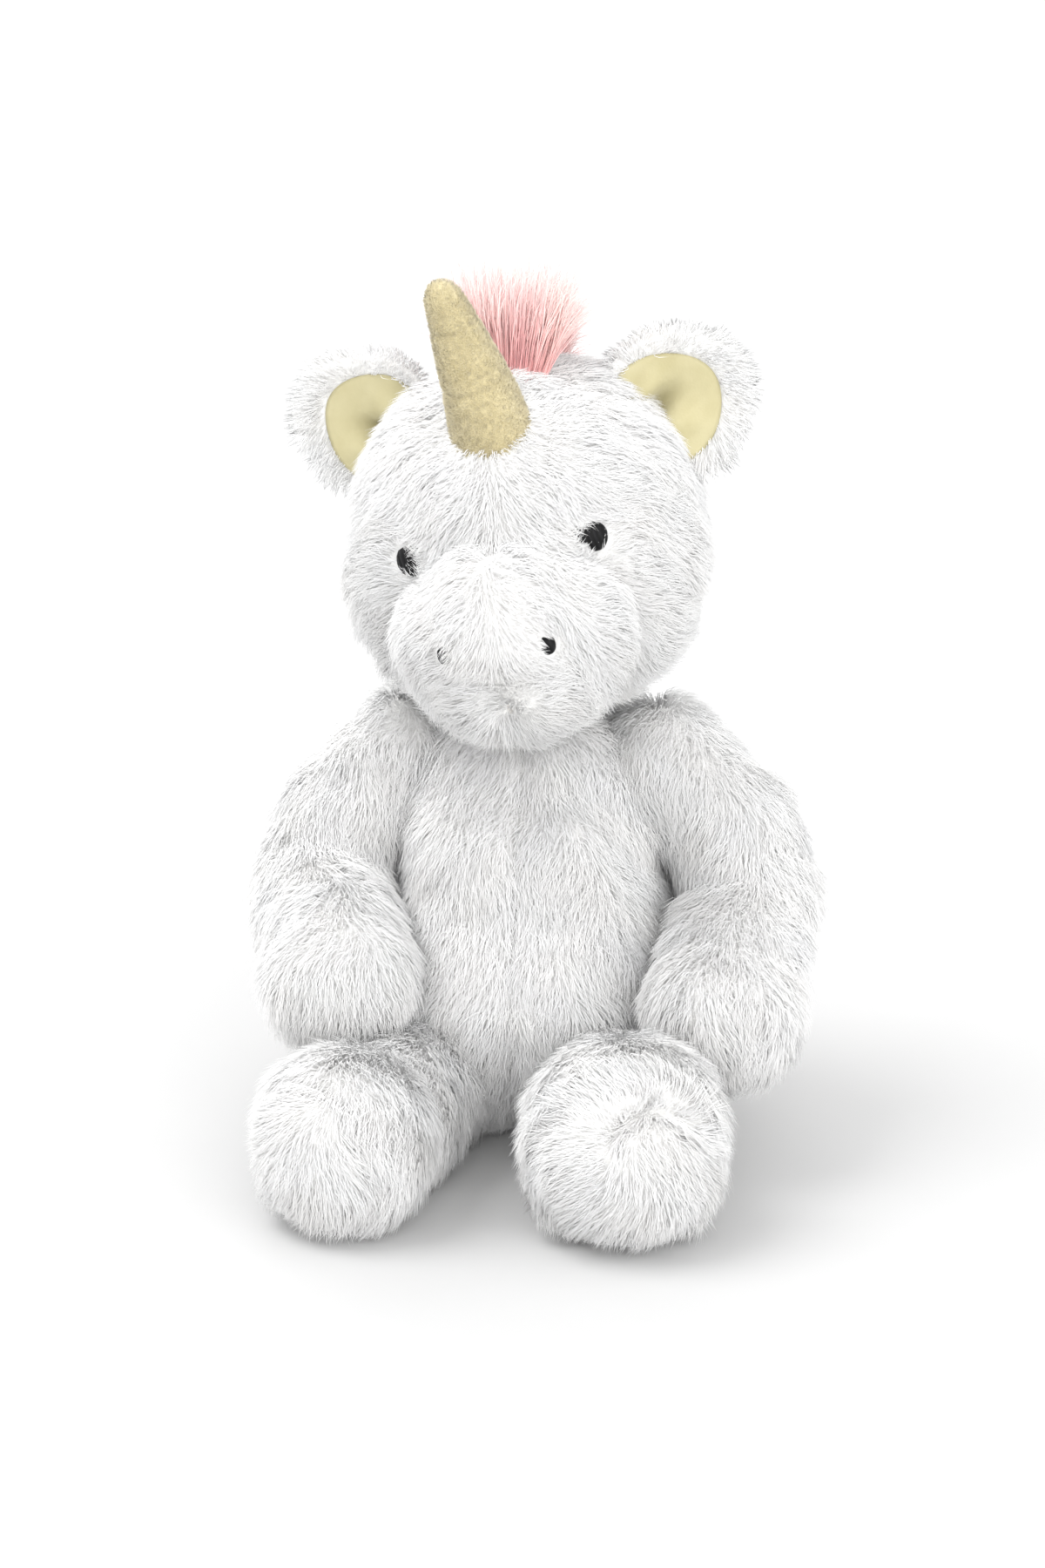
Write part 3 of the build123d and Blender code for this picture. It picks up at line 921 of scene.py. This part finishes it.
def ear_shell(side, reach, half, shifts, name, node, look, rings=16, around=40):
    """A half oval of the ear, cut straight along the sewn edge, as a closed piece."""
    root, outward, along, back = ear_frame(side)
    share = np.linspace(0, 1, rings + 1)[1:]
    angle = np.radians(np.linspace(-90, 90, around + 1))
    x = np.concatenate([[0.0], (share[:, None] * reach * np.cos(angle)).ravel()])
    w = np.concatenate([[0.0], (share[:, None] * half * np.sin(angle)).ravel()])
    rim = smooth_step(0.80, 1.0, np.hypot(x / reach, w / half))
    bulge = 1 + 0.10 * np.sin(math.pi * np.clip(x / reach, 0, 1))
    layers = []
    for shift in shifts:
        depth = ear_depth(x, w) + shift + (sum(shifts) / 2 - shift) * rim**2 * 0.94
        layers.append(root + outward * x[:, None] + along * (w * bulge)[:, None] + back * depth[:, None])
    count, row = len(x), around + 1
    faces = []
    for layer in (0, 1):
        first = layer * count
        turn = -1 if layer == 0 else 1
        for k in range(around):
            faces.append((first, first + 1 + k, first + 2 + k)[::turn])
            for r in range(rings - 1):
                a = first + 1 + r * row + k
                faces.append((a, a + row, a + row + 1, a + 1)[::turn])
    last = 1 + (rings - 1) * row
    edge = [last + k for k in range(row)]
    edge += [1 + r * row + around for r in range(rings - 2, -1, -1)]
    edge += [0] + [1 + r * row for r in range(rings - 1)]
    for a, b in zip(edge, edge[1:] + edge[:1]):
        faces.append((a, b, b + count, a + count))
    piece = make_mesh(name, np.concatenate(layers), faces, look)
    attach(piece, f"ear_{side}")
    stands_for(piece, node)
    return piece, (x, w * bulge, rim, count)


def ears():
    for side in SIDES:
        root, outward, along, back = ear_frame(side)
        name, lining = f"ear_back_{side}", f"ear_lining_{side}"
        shifts = (0.2, EAR_THICK)
        piece, _ = ear_shell(side, EAR_REACH, EAR_HALF, shifts, f"{name}_cloth", name, WHITE_KNIT)
        ear_shell(side, LINING_REACH, LINING_HALF, (-0.9, 0.15), f"{lining}_satin", lining, CREAM_SATIN)
        points = np.array([v.co[:] for v in piece.data.vertices]) / MM
        normals = np.array([v.normal[:] for v in piece.data.vertices])
        quads = np.array([(list(p.vertices) + [p.vertices[-1]])[:4] for p in piece.data.polygons])
        place = points[quads].mean(axis=1) - root
        x, w = place @ outward, place @ along
        behind = normals[quads[:, 0]] @ back > -0.1
        ring = np.hypot(x / LINING_REACH, w / LINING_HALF) > 1.0
        keep = (behind | ring) & (x > 1.5)

        def comb(p, root=root, outward=outward):
            return unit(p - root - outward * 6) * 0.9 + DOWN * 0.25

        def length(p, root=root, outward=outward):
            return 5.4 + 1.2 * smooth_step(0, 18, (p - root) @ outward)

        pile(
            f"{name}_pile", piece, (points, quads, normals), keep, 500 + SIDES[side], comb, length,
            per_cm2=330.0, lift=0.5, soft=0.25,
        )


# --- horn, mane and tail ------------------------------------------------------------
HORN_TILT = math.radians(15)
HORN_LEAN = math.radians(-3.5)
HORN_LENGTH = 43.0


def horn_axis(t):
    """Middle line of the horn in the head's frame, t from 0 at the skull to 1 at the tip."""
    up = np.array((math.sin(HORN_LEAN), -math.sin(HORN_TILT), math.cos(HORN_TILT)))
    bend = np.array((-2.6, 0.8, 0)) * t * t
    return HORN_ROOT + up * (-7 + (HORN_LENGTH + 7) * t) + bend


def horn_radius(t):
    body = 11.0 * (1 - t) + 3.7 * t + 0.5 * math.sin(math.pi * t)
    tip = math.sqrt(max(1 - max((t - 0.90) / 0.10, 0) ** 2, 0))
    rings = sum(0.45 * math.exp(-(((t - at) / 0.013) ** 2)) for at in (0.42, 0.75))
    return max(body * tip - rings, 0.05)


def horn_shape(name, node, inset, look):
    """The horn's cloth, or the filling just inside it, as one closed lathe-like piece."""
    around, rows = 40, 70
    points, faces = [], []
    for i in range(rows + 1):
        t = 1 - (1 - i / rows) ** 1.25
        middle = horn_axis(t * (1 - inset / HORN_LENGTH))
        ahead = unit(horn_axis(t + 0.01) - horn_axis(t - 0.01))
        side = unit(np.cross(ahead, (0, 1, 0)))
        front = np.cross(ahead, side)
        for k in range(around):
            a = 2 * math.pi * k / around
            r = horn_radius(t) * (1 + 0.018 * math.sin(3 * a + 9 * t))
            r = max(r - inset, 0.04)
            points.append(middle + side * r * math.cos(a) + front * r * math.sin(a))
    for i in range(rows):
        for k in range(around):
            a, b = i * around + k, i * around + (k + 1) % around
            faces.append((a, b, b + around, a + around))
    faces.append(tuple(range(around))[::-1])
    faces.append(tuple(range(rows * around, (rows + 1) * around)))
    piece = make_mesh(name, from_head(points), faces, look)
    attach(piece, "head")
    stands_for(piece, node)
    return piece


def horn():
    horn_shape("horn_fibre", "horn_stuffing", 0.9, FIBRE)
    piece = horn_shape("horn_velour", "horn_cover", 0.0, GOLD_VELOUR)
    spots = np.array([v.co[:] for v in piece.data.vertices]) / MM
    normals = np.array([v.normal[:] for v in piece.data.vertices])
    quads = np.array([list(p.vertices) for p in piece.data.polygons if len(p.vertices) == 4])
    if ((spots.mean(0) - spots) * normals).sum() > 0:
        normals = -normals
    up = HEAD @ np.array((0, -0.2, 1.0))
    pile(
        "horn_fuzz", piece, (spots, quads, normals), np.ones(len(quads), bool), 600,
        lambda p: np.tile(up, (len(p), 1)), lambda p: np.full(len(p), 1.2), 900.0,
        lift=0.70, stray=0.9, droop=0.0, gather=0.45, radius=0.08, soft=0.7, material=GOLD_FUZZ,
        tint=Ripple(31, 2.2), slot=SLOTS["horn_cover"],
    )


CREST = 44.0            # radius of the arc that the mane follows over the head
PINK_LOOK = {
    "lift": 0.92, "stray": 0.5, "droop": 0.06, "rings": 4, "tuft": 14, "gather": 0.55, "wave": 0.8,
    "reach": 6.0, "radius": 0.155, "soft": 0.4, "tint": Ripple(21, 9.0), "material": PINK_PILE,
    "slot": "pink_pile",
}


def mane(tree):
    """Long pile on a strip from behind the horn, over the crown and down the nape."""
    random = np.random.default_rng(700)
    count = 8200
    over = random.random(count) ** 1.3
    angle = np.radians(82 + over * 100)
    across = random.uniform(-1, 1, count) * (9.0 - 2.5 * over) + 3.5 * (1 - over)
    ball = np.stack([across, -np.cos(angle) * CREST, np.sin(angle) * CREST], 1)
    found = [on_skin(tree, p) for p in ball]
    roots, normals = (np.array(part) for part in zip(*found))
    crown = 1 - smooth_step(0.10, 0.55, over)
    lean = 0.10 * crown + (across - 3) * 0.025
    along = np.stack([lean, 0.3 + 1.2 * over, 0.6 - 1.9 * over], 1) @ HEAD.T
    length = (15 + 15.5 * crown) * random.uniform(0.62, 1.12, count)
    base = mane_strip(tree)
    grow("mane_tuft", base, roots, normals, along, length, random, PINK_LOOK)


def mane_strip(tree):
    """The knitted strip that the mane grows from, laid over the head's cloth."""
    points, faces = [], []
    rows = 18
    for i in range(rows):
        angle = math.radians(80 + 98 * i / (rows - 1))
        for lift in (1.1, 0.1):
            for side in (-6.5, 0, 6.5):
                place = np.array((side + 1.5, -math.cos(angle) * CREST, math.sin(angle) * CREST))
                at, normal = on_skin(tree, place)
                points.append(at + normal * lift)
    ring = (0, 1, 2, 5, 4, 3)
    for i in range(rows - 1):
        for m, n in zip(ring, ring[1:] + ring[:1]):
            faces.append((i * 6 + m, i * 6 + n, i * 6 + n + 6, i * 6 + m + 6))
    faces.append(ring[::-1])
    faces.append(tuple((rows - 1) * 6 + k for k in ring))
    piece = make_mesh("mane_strip", points, faces, PINK_KNIT)
    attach(piece, "head")
    stands_for(piece, "mane_backing", "mane_pile")
    return piece


def tail():
    """A tuft of the mane's pile on a short tab, hanging at the back seam."""
    root = joint_at("tail_lift") + np.array((0, 0.5, 0))
    way = unit(np.array((0.0, 0.72, -0.70)))
    random = np.random.default_rng(800)
    rows, around = 9, 14
    points, faces = [], []
    for i in range(rows + 1):
        t = i / rows
        r = 3.4 * math.sqrt(max(1 - (2 * t - 1) ** 4, 0.02))
        middle = root + way * (-1.5 + 13 * t)
        for k in range(around):
            a = 2 * math.pi * k / around
            rise = 0.7 * r * math.sin(a)
            points.append(middle + np.array((r * math.cos(a), rise, rise)))
    for i in range(rows):
        for k in range(around):
            a, b = i * around + k, i * around + (k + 1) % around
            faces.append((a, b, b + around, a + around))
    faces.append(tuple(range(around))[::-1])
    faces.append(tuple(range(rows * around, (rows + 1) * around)))
    base = make_mesh("tail_tab_cloth", points, faces, PINK_KNIT)
    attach(base, "tail")
    stands_for(base, "tail_tab", "tail_pile")
    count = 1500
    t = random.random(count)
    a = random.uniform(0, 2 * math.pi, count)
    out = np.stack([np.cos(a), 0.7 * np.sin(a), 0.7 * np.sin(a)], 1)
    roots = root + way * (1 + 9.5 * t)[:, None] + out * random.uniform(1.0, 3.0, (count, 1))
    look = {**PINK_LOOK, "lift": random.uniform(0.54, 0.84, count), "droop": 0.12, "stray": 0.25, "wave": 1.2}
    along = np.tile(way, (count, 1))
    facing = unit(unit(out) + 0.6 * way)
    grow("tail_tuft", base, roots, facing, along, np.full(count, 25.0), random, look)


# --- stage --------------------------------------------------------------------------
def stage():
    bpy.ops.mesh.primitive_plane_add(size=60, location=(0, 0, 0))
    floor = bpy.context.object
    floor.name = "floor"
    paper, _, _, shader = material("floor_paper")
    shader.inputs["Base Color"].default_value = (0.61, 0.61, 0.61, 1)
    shader.inputs["Roughness"].default_value = 0.9
    shader.inputs["Specular IOR Level"].default_value = 0.1
    floor.data.materials.append(paper)
    world = bpy.data.worlds.new("studio")
    world.use_nodes = True
    world.node_tree.nodes["Background"].inputs[0].default_value = (1.0, 1.0, 1.0, 1)
    world.node_tree.nodes["Background"].inputs[1].default_value = 1.09
    bpy.context.scene.world = world
    # Each sun: the way to it, its strength, and how many degrees wide it is, which softens shadows.
    for name, towards, power, spread in (
        ("key", (-0.80, -0.25, 1.30), 1.45, 38.0),
        ("fill", (0.50, -1.0, 0.22), 2.60, 70.0),
        ("back", (-0.30, 1.0, 0.45), 1.00, 60.0),
    ):
        lamp = bpy.data.lights.new(name, "SUN")
        lamp.energy = power
        lamp.angle = math.radians(spread)
        light = bpy.data.objects.new(name, lamp)
        light.location = towards
        light.rotation_euler = Vector(towards).to_track_quat("Z", "Y").to_euler()
        bpy.context.scene.collection.objects.link(light)


CAMERA_AZIMUTH = 8.0    # degrees towards the toy's left
CAMERA_ELEVATION = 15.0
CAMERA_AWAY = 0.87
AIM_HEIGHT = 0.110
SHIFT = (-13 / 1800, -68 / 1800)    # places the toy in the picture as the photo does
FIELD_HEIGHT = 0.4286   # metres of the scene that the picture's height shows at the toy
SENSOR = 36.0


def camera():
    data = bpy.data.cameras.new("camera")
    a, e = math.radians(CAMERA_AZIMUTH), math.radians(CAMERA_ELEVATION)
    aim = Vector((0, 0, AIM_HEIGHT))
    back = Vector((math.sin(a) * math.cos(e), -math.cos(a) * math.cos(e), math.sin(e)))
    eye = bpy.data.objects.new("camera", data)
    eye.location = aim + back * CAMERA_AWAY
    eye.rotation_euler = (-back).to_track_quat("-Z", "Y").to_euler()
    data.sensor_fit = "VERTICAL"
    data.sensor_height = SENSOR
    data.sensor_width = SENSOR
    data.lens = SENSOR * CAMERA_AWAY / FIELD_HEIGHT
    data.shift_x, data.shift_y = SHIFT
    data.clip_start = 0.05
    bpy.context.scene.collection.objects.link(eye)
    bpy.context.scene.camera = eye
    bpy.context.scene.view_settings.view_transform = "Standard"


camera()
slot_materials()
torso()
face_tree = head()
face(face_tree)
arms()
legs()
ears()
horn()
mane(face_tree)
tail()
stage()
